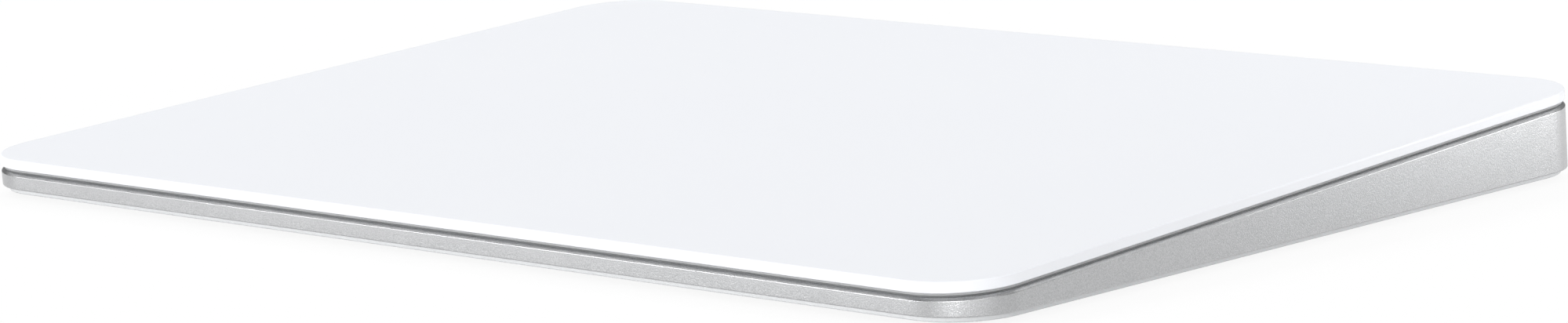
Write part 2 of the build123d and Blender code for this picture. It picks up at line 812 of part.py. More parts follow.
body_rear_y = wall_y(port_mid_z, deck_length / 2) - flange_end - switch_body_gap
body_mid = (switch_x, body_rear_y - switch_body_depth / 2)
groove_length = lever_width + switch_travel + 2 * run_clearance
with BuildPart() as switch_body:
    with BuildSketch(Plane.XY.offset(board_top)):
        with Locations(body_mid):
            Rectangle(switch_body_length, switch_body_depth)
    extrude(amount=switch_body_height)
    with BuildSketch(Plane(origin=(switch_x, body_rear_y, port_mid_z), x_dir=(1, 0, 0), z_dir=(0, 1, 0))):
        Rectangle(groove_length, lever_height + 2 * run_clearance)
    extrude(amount=-switch_groove_depth, mode=Mode.SUBTRACT)
save(switch_body, "switch_body")

# Screws
save(low_screws(flexure_screw_planes(flexure_depth), flexure_thickness), "flexure_screws")
bracket_seats = level_planes(bracket_screws_at, floor_top + bracket_thickness)
save(low_screws(bracket_seats, bracket_thickness), "haptic_screws")
save(low_screws(level_planes(board_screws_at, board_top), board_thickness), "board_screws")
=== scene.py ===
# %% [markdown]
# # A glass trackpad
# A desktop trackpad is a shallow wedge. Its top is a sheet of white etched glass, which floats on four thin
# springs inside a housing of bead-blasted aluminium. A white plate closes it below and stands on four round feet.
#
# The sizes of every piece come from the imported model, which is the fixed frame of this scene. The first cell loads
# it and hangs each piece on the body that it moves with.

# %% Load the frame
import json
import math

import bmesh
import bpy
from mathutils import Matrix, Vector

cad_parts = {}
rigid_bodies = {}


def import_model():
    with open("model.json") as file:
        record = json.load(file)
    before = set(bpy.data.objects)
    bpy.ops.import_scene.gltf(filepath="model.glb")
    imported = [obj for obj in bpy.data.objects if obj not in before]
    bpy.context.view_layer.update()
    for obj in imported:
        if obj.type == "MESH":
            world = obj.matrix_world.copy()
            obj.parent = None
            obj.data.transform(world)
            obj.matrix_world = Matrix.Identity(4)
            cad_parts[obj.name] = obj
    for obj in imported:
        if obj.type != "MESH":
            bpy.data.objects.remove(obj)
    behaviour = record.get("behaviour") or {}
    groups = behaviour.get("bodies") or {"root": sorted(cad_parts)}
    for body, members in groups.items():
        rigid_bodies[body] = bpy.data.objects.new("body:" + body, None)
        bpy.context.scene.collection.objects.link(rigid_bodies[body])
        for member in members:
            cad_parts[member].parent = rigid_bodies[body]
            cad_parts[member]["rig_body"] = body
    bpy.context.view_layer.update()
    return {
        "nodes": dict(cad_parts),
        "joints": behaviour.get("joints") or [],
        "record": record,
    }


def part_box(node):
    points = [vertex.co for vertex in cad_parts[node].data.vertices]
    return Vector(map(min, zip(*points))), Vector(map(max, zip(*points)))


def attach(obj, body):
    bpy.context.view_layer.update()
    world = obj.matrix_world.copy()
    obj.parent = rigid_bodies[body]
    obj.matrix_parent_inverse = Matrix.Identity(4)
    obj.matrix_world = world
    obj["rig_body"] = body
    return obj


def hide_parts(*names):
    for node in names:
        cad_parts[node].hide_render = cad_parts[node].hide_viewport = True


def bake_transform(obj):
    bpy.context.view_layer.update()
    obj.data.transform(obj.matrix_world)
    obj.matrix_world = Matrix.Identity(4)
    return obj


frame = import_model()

nodes = frame["nodes"]
mounts = {mount["name"]: mount for mount in frame["record"]["mounts"]}
joints = {joint["name"]: joint for joint in frame["joints"]}

# %% [markdown]
# ## The sloping deck
# The glass lies on a slope of about three degrees, and the walls stand square to it, so most shapes are easiest to
# say along the deck: u to the right, v up the slope, and depth straight down into the housing. The press joint
# moves square to the deck, which gives its direction, and the mount on the glass gives a point of it.

# %% Deck directions
MM = 0.001
MICRON = 0.000001
deck_normal = -Vector(joints["surface_press"]["axis"]).normalized()
deck_rear = Vector((0, deck_normal.z, -deck_normal.y))
deck_origin = Vector(mounts["touch_face"]["pos_m"])
desk_up = Vector((0, 0, 1))


def on_deck(u, v, depth):
    """The point at u, v along the deck and depth below it."""
    return deck_origin + Vector((u, 0, 0)) + v * deck_rear - depth * deck_normal


def depth_of(point):
    """How far a point lies below the deck."""
    return -(point - deck_origin).dot(deck_normal)


def deck_extent(name):
    """Lowest and highest u, v and depth of a CAD node."""
    offsets = [vertex.co - deck_origin for vertex in nodes[name].data.vertices]
    measured = [(p.x, p.dot(deck_rear), -p.dot(deck_normal)) for p in offsets]
    return [min(axis) for axis in zip(*measured)], [max(axis) for axis in zip(*measured)]


def box_of(name):
    """Lowest and highest corner of a CAD node, in the frame of the whole trackpad."""
    low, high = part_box(name)
    return Vector(low), Vector(high)


print("deck slope in degrees", round(math.degrees(math.asin(-deck_normal.y)), 3))

# %% [markdown]
# ## Camera
# The photograph looks across the near right corner from low down, through a long lens. Azimuth, elevation and roll
# turn the camera, and the distance sets how fast the far edges shrink.

# %% Camera
PHOTO_WIDTH = 1999
SENSOR_MM = 36.0
camera_azimuth = math.radians(42.63)
camera_elevation = math.radians(9.382)
camera_roll = math.radians(-1.912)
camera_distance = 0.5799
camera_target = Vector((0.01127, -0.00943, 0.00505))
focal_pixels = 6292.0

back = Vector((
    math.sin(camera_azimuth) * math.cos(camera_elevation),
    -math.cos(camera_azimuth) * math.cos(camera_elevation),
    math.sin(camera_elevation),
))
level_right = Vector((math.cos(camera_azimuth), math.sin(camera_azimuth), 0))
level_up = back.cross(level_right)
right = level_right * math.cos(camera_roll) + level_up * math.sin(camera_roll)
up = level_up * math.cos(camera_roll) - level_right * math.sin(camera_roll)


def add_object(name, data):
    """A new object in the scene for a camera, a lamp or a mesh."""
    item = bpy.data.objects.new(name, data)
    bpy.context.scene.collection.objects.link(item)
    return item


camera_data = bpy.data.cameras.new("camera")
camera_data.sensor_width = SENSOR_MM
camera_data.lens = focal_pixels / PHOTO_WIDTH * SENSOR_MM
camera_data.clip_start = 0.01
camera_data.clip_end = 40
camera = add_object("camera", camera_data)
bpy.context.scene.camera = camera
seat = camera_target + back * camera_distance
camera.matrix_world = Matrix([(*row, place) for row, place in zip(zip(right, up, back), seat)] + [(0, 0, 0, 1)])
print("camera lens in mm", round(camera_data.lens, 2))

# %% [markdown]
# ## Graphs of nodes
# A finish is a small graph of shader nodes, and a recipe for a repeated detail is a graph of geometry nodes. Writing
# either as arithmetic keeps it readable: a Wire wraps one socket, and adding or multiplying wires adds the Math
# nodes. Every other node comes from Graph.node, which sets the node's own settings first and then its sockets.

# %% Wires and graphs


class Wire:
    """One value on its way through a graph."""

    def __init__(self, graph, socket):
        self.graph = graph
        self.socket = socket

    def also(self, label):
        """Another output of the same node."""
        return Wire(self.graph, self.socket.node.outputs[label])

    def math(self, operation, *others):
        return self.graph.node("ShaderNodeMath", {"operation": operation}, dict(enumerate((self, *others))))

    def __add__(self, other):
        return self.math("ADD", other)

    def __sub__(self, other):
        return self.math("SUBTRACT", other)

    def __rsub__(self, other):
        return self.graph.node("ShaderNodeMath", {"operation": "SUBTRACT"}, {0: other, 1: self})

    def __mul__(self, other):
        return self.math("MULTIPLY", other)

    def __truediv__(self, other):
        return self.math("DIVIDE", other)

    __radd__ = __add__
    __rmul__ = __mul__


class Graph:
    """Adds nodes to a tree and hands their outputs back as wires."""

    def __init__(self, tree):
        self.tree = tree

    def plug(self, node, key, value):
        if isinstance(value, Wire):
            self.tree.links.new(value.socket, node.inputs[key])
        else:
            node.inputs[key].default_value = value

    def node(self, kind, settings=None, sockets=None, output=0):
        node = self.tree.nodes.new(kind)
        for key, value in (settings or {}).items():
            setattr(node, key, value)
        for key, value in (sockets or {}).items():
            self.plug(node, key, value)
        return Wire(self, node.outputs[output])


print("graph helpers ready")

# %% [markdown]
# ## Finishes
# Each surface gets one Principled shader. Its patterns are read from object coordinates, which are metres in the
# frame of the whole trackpad, so a grain is simply a length, given here in millimetres. A noise is for what grows or
# wears, stretched noise for what was rolled, brushed or turned, and stripes for what was laid out in rows.

# %% Finish


class Finish(Graph):
    """A material with one Principled shader, made for one of this object's surfaces."""

    def __init__(self, name, **constants):
        self.material = bpy.data.materials.new(name)
        self.material.use_nodes = True
        super().__init__(self.material.node_tree)
        self.tree.nodes.clear()
        self.principled = self.tree.nodes.new("ShaderNodeBsdfPrincipled")
        self.output = self.tree.nodes.new("ShaderNodeOutputMaterial")
        self.tree.links.new(self.principled.outputs[0], self.output.inputs["Surface"])
        for label, value in constants.items():
            self.set("IOR" if label == "ior" else label.replace("_", " ").title(), value)

    def set(self, label, value):
        """Sets or links one socket of the Principled shader."""
        self.plug(self.principled, label, value)

    def place(self):
        return self.node("ShaderNodeTexCoord", output="Object")

    def noise(self, grain, detail=2.0, roughness=0.5):
        """Noise of 0 to 1 with features of about one grain in mm, or of a grain for each direction."""
        sizes = grain if isinstance(grain, tuple) else (grain, grain, grain)
        scale = [1 / (size * MM) for size in sizes]
        stretched = self.node("ShaderNodeMapping", sockets={"Vector": self.place(), "Scale": scale})
        return self.node(
            "ShaderNodeTexNoise",
            sockets={"Vector": stretched, "Scale": 1.0, "Detail": detail, "Roughness": roughness},
        )

    def stripes(self, axis, pitch, share=0.5):
        """1 in a share of each pitch in mm along X, Y or Z, and 0 between."""
        along = self.node("ShaderNodeSeparateXYZ", sockets={0: self.place()}, output=axis)
        return (along * (1 / (pitch * MM))).math("FRACT").math("LESS_THAN", share)

    def colour(self, factor, first, second):
        """Sets the base colour to vary between two colours."""
        mixed = self.node("ShaderNodeMix", {"data_type": "RGBA"}, {0: factor, 6: (*first, 1), 7: (*second, 1)}, 2)
        self.set("Base Color", mixed)

    def bump(self, height, distance, strength=1.0):
        """Raises the surface by a height of 0 to 1 over a distance in mm."""
        bumped = self.node(
            "ShaderNodeBump", sockets={"Height": height, "Distance": distance * MM, "Strength": strength}
        )
        self.set("Normal", bumped)


print("finish helper ready")

# %% [markdown]
# ## White glass
# The glass is white all through. Its top is finely etched, so it shows a soft even sheen and no mirror image, and its
# edge is ground a little smoother, so it looks brighter than the top. A faint cool tint, slow clouds and a grain far
# finer than a fingertip are all that tells it from paint.

# %% Etched top and ground edge
etched_top = Finish("etched_glass_top", roughness=0.8, ior=1.5)
etched_top.set("Specular IOR Level", 0.1)
etched_top.colour(etched_top.noise(30, detail=3), (0.755, 0.769, 0.800), (0.765, 0.777, 0.805))
etched_top.bump(etched_top.noise(0.05), 0.002, 0.25)

ground_edge = Finish("ground_glass_edge", roughness=0.3, ior=1.5)
ground_edge.colour(ground_edge.noise(6), (0.69, 0.70, 0.73), (0.71, 0.72, 0.745))
ground_edge.bump(ground_edge.noise(0.08), 0.002, 0.2)
print("glass finishes", etched_top.material.name, ground_edge.material.name)

# %% [markdown]
# ## Bead-blasted aluminium
# Blasting leaves a skin of tiny dents, about a tenth of a millimetre wide, and anodising seals it. The dents scatter
# the light, so the metal looks satin with a fine sparkle. One noise gives the dents and a slower one the unevenness
# of the blasting.

# %% Bead-blasted aluminium
blasted = Finish("bead_blasted_aluminium", metallic=1.0)
dents = (blasted.noise(0.12, detail=1) - 0.3) / 0.4
blasted.colour(dents, (0.395, 0.399, 0.407), (0.535, 0.539, 0.547))
blasted.set("Roughness", 0.3 + 0.06 * blasted.noise(4))
blasted.bump(dents, 0.008, 1.0)
print("metal finish", blasted.material.name)

# %% [markdown]
# ## Moulded plastic, rubber and gel
# The base plate is matte white plastic with a fine moulded grain, and the switch is the same plastic in silver grey.
# The feet are soft rubber. The gel pads that carry the glass are clear silicone, so light passes into them. The
# antenna's carrier, the body of the switch and the tongue of the charge port are dark nylon with short glass fibres,
# which run along the moulding. The connectors are the same nylon in a pale shade.

# %% Plastic, rubber and gel


def grained(name, dark, light, grain, lift, strength, detail=2.0, **constants):
    """A finish whose grain, of a size in mm, shows in its colour and as a bump."""
    finish = Finish(name, **constants)
    grains = finish.noise(grain, detail=detail)
    finish.colour(grains, dark, light)
    finish.bump(grains, lift, strength)
    return finish


white_plastic = grained(
    "moulded_white_plastic", (0.54, 0.55, 0.56), (0.60, 0.61, 0.62), grain=0.2, lift=0.01, strength=0.3,
    roughness=0.5, ior=1.46,
)
knob_plastic = grained(
    "silver_grey_plastic", (0.55, 0.56, 0.57), (0.61, 0.62, 0.63), grain=0.15, lift=0.008, strength=0.3,
    roughness=0.42, ior=1.46,
)
foot_rubber = grained(
    "soft_foot_rubber", (0.42, 0.42, 0.43), (0.52, 0.52, 0.53), grain=0.25, lift=0.02, strength=0.6, detail=3,
    roughness=0.75, ior=1.5,
)
dark_nylon = grained(
    "dark_nylon", (0.035, 0.036, 0.038), (0.075, 0.076, 0.078), grain=(1.2, 0.12, 0.12), lift=0.008, strength=0.4,
    roughness=0.45, ior=1.53,
)
pale_nylon = grained(
    "pale_nylon", (0.70, 0.67, 0.58), (0.80, 0.77, 0.69), grain=(0.8, 0.1, 0.1), lift=0.006, strength=0.3,
    roughness=0.4, ior=1.53,
)
clear_gel = Finish("clear_silicone_gel", roughness=0.2, ior=1.41, transmission_weight=0.6)
clear_gel.colour(clear_gel.noise(1.2), (0.80, 0.84, 0.88), (0.88, 0.91, 0.93))
print("six moulded finishes")

# %% [markdown]
# ## Boards, chips and films
# A circuit board shows green solder mask with copper runs under it: fine stripes, running one way in some patches
# and the other way in others. The sensor board shows only its grey edge. Chips are moulded in grainy black resin.
# Ribbons and gauges are amber film over copper stripes, and the adhesives are thin milky films. A pale dust seal lies
# on the rim of the housing, under the edge of the sensor board, and is what shows in the gap between them.

# %% Boards, chips and films
sensor_edge = Finish("sensor_board_edge", roughness=0.55, ior=1.5)
sensor_edge.colour(sensor_edge.noise(0.3), (0.25, 0.255, 0.26), (0.31, 0.315, 0.32))

solder_mask = Finish("green_solder_mask", roughness=0.32, ior=1.5)
one_way = solder_mask.noise(4, detail=0).math("GREATER_THAN", 0.5)
runs = one_way * solder_mask.stripes("X", 0.55, 0.4) + (1 - one_way) * solder_mask.stripes("Y", 0.55, 0.4)
solder_mask.colour(runs, (0.012, 0.10, 0.045), (0.03, 0.19, 0.08))
solder_mask.bump(runs, 0.02, 0.6)

chip_resin = grained(
    "chip_resin", (0.02, 0.02, 0.022), (0.055, 0.055, 0.058), grain=0.08, lift=0.006, strength=0.5, detail=3,
    roughness=0.5, ior=1.55,
)

amber_film = Finish("amber_film", roughness=0.28, ior=1.6)
film_runs = amber_film.stripes("X", 0.5, 0.5) * amber_film.noise(6, detail=0).math("GREATER_THAN", 0.35)
amber_film.colour(film_runs, (0.50, 0.22, 0.045), (0.66, 0.34, 0.12))
amber_film.bump(film_runs, 0.01, 0.5)

gauge_film = Finish("amber_gauge_film", roughness=0.35, ior=1.55)
gauge_film.colour(gauge_film.noise(0.4), (0.62, 0.42, 0.16), (0.72, 0.52, 0.24))

rim_seal = Finish("pale_rim_seal", roughness=0.6, ior=1.5)
rim_seal.colour(rim_seal.noise(0.4), (0.76, 0.77, 0.78), (0.83, 0.84, 0.85))

milky_adhesive = grained(
    "milky_adhesive", (0.55, 0.56, 0.58), (0.66, 0.67, 0.69), grain=2.5, lift=0.02, strength=0.2, detail=3,
    roughness=0.4, ior=1.47,
)
print("seven board and film finishes")

# %% [markdown]
# ## Steels, copper and foil
# Sheet steel keeps the long streaks of the rolling mill, a spring is brushed finer, a turned stud shows rings, and the
# driver's core is a stack of laminations. The shield can is tinned. The pouch of the battery cell is crinkled foil,
# and the coils are enamelled copper. The antenna is a copper track folded back and forth on its carrier.

# %% Steels, copper and foil


def rolled_metal(name, dark, light, roughness, grain, lift=0.004):
    """A metal finish with streaks or grains of a size in mm."""
    finish = Finish(name, metallic=1.0)
    streaks = finish.noise(grain, detail=3, roughness=0.6)
    finish.colour(streaks, dark, light)
    finish.set("Roughness", roughness + 0.12 * streaks)
    finish.bump(streaks, lift, 0.4)
    return finish


spring_steel = rolled_metal("brushed_spring_steel", (0.46, 0.46, 0.47), (0.60, 0.60, 0.61), 0.22, (6, 0.08, 0.08))
plate_steel = rolled_metal("rolled_plate_steel", (0.42, 0.42, 0.43), (0.52, 0.52, 0.53), 0.35, (20, 0.4, 0.4))
bracket_steel = rolled_metal("pressed_bracket_steel", (0.36, 0.36, 0.37), (0.46, 0.46, 0.47), 0.32, (0.2, 8, 0.2))
tinned_steel = rolled_metal("tinned_steel", (0.62, 0.62, 0.60), (0.74, 0.74, 0.72), 0.26, (4, 0.3, 0.3))
screw_steel = rolled_metal("turned_screw_steel", (0.30, 0.30, 0.31), (0.44, 0.44, 0.45), 0.25, 0.3)
gold_plate = rolled_metal("gold_plate", (0.83, 0.62, 0.27), (0.92, 0.74, 0.38), 0.2, 0.2)
copper_wire = rolled_metal("enamelled_copper", (0.60, 0.24, 0.11), (0.78, 0.36, 0.19), 0.22, (0.6, 0.08, 0.08))

stud_steel = Finish("turned_steel", metallic=1.0)
rings = stud_steel.noise((2, 2, 0.05), detail=2)
stud_steel.colour(rings, (0.50, 0.50, 0.51), (0.62, 0.62, 0.63))
stud_steel.set("Roughness", 0.2 + 0.15 * rings)

core_iron = Finish("laminated_iron", metallic=1.0, roughness=0.42)
sheets = core_iron.stripes("Z", 0.2, 0.8)
core_iron.colour(sheets, (0.12, 0.12, 0.125), (0.36, 0.36, 0.37))
core_iron.bump(sheets, 0.02, 0.6)

antenna_copper = Finish("folded_antenna_copper", metallic=1.0, roughness=0.3)
folds = antenna_copper.stripes("X", 1.6, 0.55)
antenna_copper.colour(folds, (0.34, 0.16, 0.08), (0.80, 0.44, 0.26))
antenna_copper.bump(folds, 0.03, 0.6)

cell_foil = Finish("crinkled_cell_foil", metallic=0.85)
crinkles = cell_foil.noise((6, 3, 3), detail=4, roughness=0.6)
cell_foil.colour(crinkles, (0.50, 0.51, 0.53), (0.62, 0.63, 0.65))
cell_foil.set("Roughness", 0.3 + 0.15 * crinkles)
cell_foil.bump(crinkles, 0.18, 0.5)
print("eleven metal finishes")

# %% [markdown]
# ## Carried-over pieces
# Most inner pieces have the right shape in the imported model already: plates, boards, chips, pads and films. They only
# need their finishes, so each one's material slot is given the finish of its record slot, and the slot's name is kept.

# %% Finishes on carried-over pieces
slot_finishes = {
    "white_glass": etched_top, "clear_adhesive": milky_adhesive, "sensor_board": sensor_edge,
    "stiffener_steel": plate_steel, "black_chip": chip_resin, "anodised_aluminium": blasted,
    "white_plastic": white_plastic, "foot_rubber": foot_rubber, "knob_plastic": knob_plastic,
    "spring_steel": spring_steel, "gauge_film": gauge_film, "stud_steel": stud_steel, "gel": clear_gel,
    "core_iron": core_iron, "coil_copper": amber_film, "bracket_steel": bracket_steel, "cell_foil": cell_foil,
    "green_board": solder_mask, "can_steel": tinned_steel, "connector_plastic": pale_nylon,
    "ribbon_film": amber_film, "antenna_copper": antenna_copper, "screw_steel": screw_steel,
}
record_slots = {}
for name, piece in nodes.items():
    for slot in piece.material_slots:
        record_slots[name] = slot.material.name.split(".")[0]
        slot.material = slot_finishes[record_slots[name]].material
nodes["antenna_carrier"].material_slots[0].material = dark_nylon.material
nodes["switch_body"].material_slots[0].material = dark_nylon.material
print("finishes given to", len(nodes), "nodes")

# %% [markdown]
# ## Rings and lofts
# The glass and the feet are lofts: the same closed outline drawn at several depths, with a strip of faces between
# each two. Every ring has the same number of points, so the strips are plain four-sided faces, and the rounding of
# an edge is only a few more rings.

# %% Rings and lofts


def rounded_outline(low, high, radius, steps):
    """Points (u, v) around a rectangle with rounded corners, the same number for any size."""
    points = []
    corners = [(high[0], low[1], -90), (high[0], high[1], 0), (low[0], high[1], 90), (low[0], low[1], 180)]
    for u, v, start in corners:
        centre_u = u - math.copysign(radius, u)
        centre_v = v - math.copysign(radius, v)
        for step in range(steps + 1):
            angle = math.radians(start + 90 * step / steps)
            points.append((centre_u + radius * math.cos(angle), centre_v + radius * math.sin(angle)))
    return points


def new_piece(name, data, materials, body):
    """An object at the origin for a finished mesh, riding on a body if one is given."""
    for material in materials:
        data.materials.append(material)
    data.name = name
    piece = add_object(name, data)
    if body:
        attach(piece, body)
    return piece


def loft(rings):
    """A closed mesh through rings of points, from the first to the last, with a cap at each end."""
    mesh = bmesh.new()
    loops = [[mesh.verts.new(point) for point in ring] for ring in rings]
    count = len(rings[0])
    for lower, upper in zip(loops, loops[1:]):
        for i in range(count):
            j = (i + 1) % count
            mesh.faces.new((lower[i], lower[j], upper[j], upper[i]))
    mesh.faces.new(loops[0][::-1])
    mesh.faces.new(loops[-1])
    bmesh.ops.recalc_face_normals(mesh, faces=mesh.faces)
    for face in mesh.faces:
        face.smooth = True
    data = bpy.data.meshes.new("loft")
    mesh.to_mesh(data)
    mesh.free()
    return data


print("a ring at 12 steps a corner has", len(rounded_outline((-1, -1), (1, 1), 0.2, 12)), "points")

# %% [markdown]
# ## Cover glass
# One sheet, 1.2 mm thick, with the same outline as the housing. Its upper edge is rounded to about two tenths of a
# millimetre, where it catches a bright line of light, and its lower edge has a small chamfer. A loft suits it: the
# profile of the edge is a short list of insets and depths, and a last ring just inside the rounding keeps the top
# flat and evenly shaded.

# %% Cover glass
CORNER_RADIUS = 8.5 * MM
GLASS_ROUND = 0.22 * MM
GLASS_UNDERCUT = 0.1 * MM
GLASS_SUPPORT = 0.03 * MM
CORNER_STEPS = 28
ROUND_STEPS = 6

glass_low, glass_high = deck_extent("cover_glass")
glass_depth = glass_high[2]


def deck_ring(inset, depth):
    """The trackpad's outline, drawn in by an inset, at a depth under the deck."""
    low = (glass_low[0] + inset, glass_low[1] + inset)
    high = (glass_high[0] - inset, glass_high[1] - inset)
    return [on_deck(u, v, depth) for u, v in rounded_outline(low, high, CORNER_RADIUS - inset, CORNER_STEPS)]


glass_profile = [
    (GLASS_UNDERCUT + GLASS_SUPPORT, glass_depth), (GLASS_UNDERCUT, glass_depth), (0.0, glass_depth - GLASS_UNDERCUT),
    (0.0, glass_depth - GLASS_UNDERCUT - GLASS_SUPPORT), (0.0, GLASS_ROUND + GLASS_SUPPORT),
]
for step in range(ROUND_STEPS + 1):
    angle = math.radians(90 * step / ROUND_STEPS)
    glass_profile.append((GLASS_ROUND * (1 - math.cos(angle)), GLASS_ROUND * (1 - math.sin(angle))))
glass_profile.append((GLASS_ROUND + GLASS_SUPPORT, 0.0))

glass_mesh = loft([deck_ring(inset, depth) for inset, depth in glass_profile])
glass = new_piece("glass_sheet", glass_mesh, [etched_top.material, ground_edge.material], "touch_surface")
for face in glass_mesh.polygons:
    face.material_index = 0 if depth_of(face.center) < GLASS_ROUND / 2 else 1
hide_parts("cover_glass")
print("cover glass faces", len(glass_mesh.polygons))

# %% [markdown]
# ## Finished copies
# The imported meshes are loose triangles. A copy is merged into real faces, and a hairline bevel breaks its edges, as
# tumbling and blasting do on real metal. The broken edges catch the light. Plain smooth shading would bend the light
# across a whole flat wall, so the shading follows the larger faces, and only the narrow bevels turn. The rim that the
# surface closes onto carries the dust seal, so the housing's faces that lie along the deck there get that finish.

# %% Finished copies
SEAL_DEPTH = 1.72 * MM
FACING_UP = 0.99
FLAT_ANGLE = math.radians(0.5)
SHARP_ANGLE = math.radians(25)


def steady_normals(data, limit=math.radians(50)):
    """Shading normals that follow the larger of the faces which meet at a shallow angle."""
    around = [[] for vertex in data.vertices]
    for face in data.polygons:
        for vertex in face.vertices:
            around[vertex].append((face.normal.copy(), face.area))
    normals = []
    for face in data.polygons:
        for vertex in face.vertices:
            lean = Vector()
            for normal, area in around[vertex]:
                if normal.dot(face.normal) > math.cos(limit):
                    lean += normal * area
            normals.append(lean.normalized())
    data.normals_split_custom_set(normals)


def finished_copy(name, finish, edge=0.04 * MM, steps=2, rigid=True, cuts=()):
    """A copy of a CAD node with merged faces, broken edges and a finish, cut across where it has to bend."""
    mesh = bmesh.new()
    mesh.from_mesh(nodes[name].data)
    bmesh.ops.remove_doubles(mesh, verts=mesh.verts, dist=MICRON)
    bmesh.ops.dissolve_limit(
        mesh, angle_limit=FLAT_ANGLE, verts=mesh.verts, edges=mesh.edges, use_dissolve_boundaries=False
    )
    sharp = [line for line in mesh.edges if line.calc_face_angle(0) > SHARP_ANGLE]
    bmesh.ops.bevel(mesh, geom=sharp, offset=edge, segments=steps, profile=0.5, affect="EDGES", clamp_overlap=False)
    for place in cuts:
        everything = mesh.verts[:] + mesh.edges[:] + mesh.faces[:]
        bmesh.ops.bisect_plane(mesh, geom=everything, plane_co=place, plane_no=(1, 0, 0))
    for face in mesh.faces:
        face.smooth = True
        face.material_index = 0
    data = bpy.data.meshes.new(name)
    mesh.to_mesh(data)
    mesh.free()
    data.materials.clear()
    steady_normals(data)
    piece = new_piece(name + "_finished", data, [finish.material], nodes[name]["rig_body"] if rigid else None)
    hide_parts(name)
    return piece


housing = finished_copy("housing", blasted, 0.05 * MM)
housing.data.materials.append(rim_seal.material)
for face in housing.data.polygons:
    if face.normal.dot(deck_normal) > FACING_UP and depth_of(face.center) < SEAL_DEPTH:
        face.material_index = 1
finished_copy("base_plate", white_plastic)
finished_copy("touch_sensor_board", sensor_edge, 0.02 * MM)
finished_copy("switch_knob", knob_plastic, 0.05 * MM)
finished_copy("charge_port_shell", tinned_steel, 0.03 * MM)
finished_copy("charge_port_tongue", dark_nylon, 0.04 * MM)
finished_copy("shield_can", tinned_steel, 0.1 * MM)
print("housing faces", len(housing.data.polygons))

# %% [markdown]
# ## Folded ribbon
# The touch ribbon is a thin film, glued to the sensor board above and plugged in on the logic board below. When the
# surface is pressed, only its upper lap sinks, and the fold between gives way. A rigid piece would cut into the
# board, so this copy rides on no body and is baked where it stands.

ribbon = finished_copy("touch_ribbon", amber_film, 0.02 * MM, rigid=False)
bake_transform(ribbon)

# %% [markdown]
# ## Flexures
# Each flexure is a tongue of spring steel: its root is screwed to the housing and its round pad carries a load stud.
# Pressing the surface bends the neck between them, which is what the strain gauge feels. The copies are cut across
# the neck in small steps, ride on no body, and are baked where they stand.

# %% Flexures
NECK_CUTS = 5

for corner in ("front_left", "front_right", "rear_left", "rear_right"):
    pad = sum(box_of("load_stud_" + corner), Vector()) / 2
    outer = 1 if pad.x > 0 else 0
    gauge_edge = box_of("strain_gauge_" + corner)[outer].x
    tip = box_of("force_flexure_" + corner)[outer].x
    neck_foot = Vector((gauge_edge, pad.y, pad.z))
    neck_top = Vector((2 * pad.x - tip, pad.y, pad.z))
    neck_steps = [neck_foot.lerp(neck_top, step / (NECK_CUTS - 1)) for step in range(NECK_CUTS)]
    flexure = finished_copy("force_flexure_" + corner, spring_steel, 0.03 * MM, rigid=False, cuts=neck_steps)
    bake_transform(flexure)
print("length of the bending neck in mm", round((neck_top - neck_foot).length / MM, 2))

# %% [markdown]
# ## Rubber feet
# Four round feet sit in shallow pockets of the base plate. A moulded foot has a softly rounded rim and a slightly
# dished middle, which helps it to grip, so each one is a loft of circles down its own profile.

# %% Rubber feet
FOOT_SIDES = 64
POCKET_RINGS = 2

# Inset and height of each ring in mm. The rings in the pocket count down from its roof, the rest up from the desk.
foot_profile = [
    (0.03, 0.0), (0.0, 0.03), (0.0, 0.2), (0.06, 0.08), (0.18, 0.0), (0.9, 0.0), (1.0, 0.03), (1.15, 0.1), (4.0, 0.1),
]


def foot_rings(name):
    """Circles of one foot, from the pocket down to the desk and in to the dished middle."""
    low, high = box_of(name)
    middle = (low + high) / 2
    radius = (high.x - low.x) / 2
    rings = []
    for place, (inset, height) in enumerate(foot_profile):
        level = high.z - height * MM if place < POCKET_RINGS else low.z + height * MM
        reach = radius - inset * MM
        circle = []
        for side in range(FOOT_SIDES):
            angle = 2 * math.pi * side / FOOT_SIDES
            circle.append(Vector((middle.x + reach * math.cos(angle), middle.y + reach * math.sin(angle), level)))
        rings.append(circle)
    return rings


for name in sorted(nodes):
    if name.startswith("rubber_foot"):
        foot = new_piece(name + "_moulded", loft(foot_rings(name)), [foot_rubber.material], nodes[name]["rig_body"])
        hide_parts(name)
print("foot faces", len(foot.data.polygons))

# %% [markdown]
# ## Recipes for repeated details
# Screws, windings, contacts and the small parts on the boards repeat, so Geometry Nodes make them. A Recipe holds
# one tree with its sizes as named inputs. It runs on a mesh of bare points, the seats, each with the direction that
# the detail faces there, and what comes out is kept as a plain mesh.

# %% Recipe


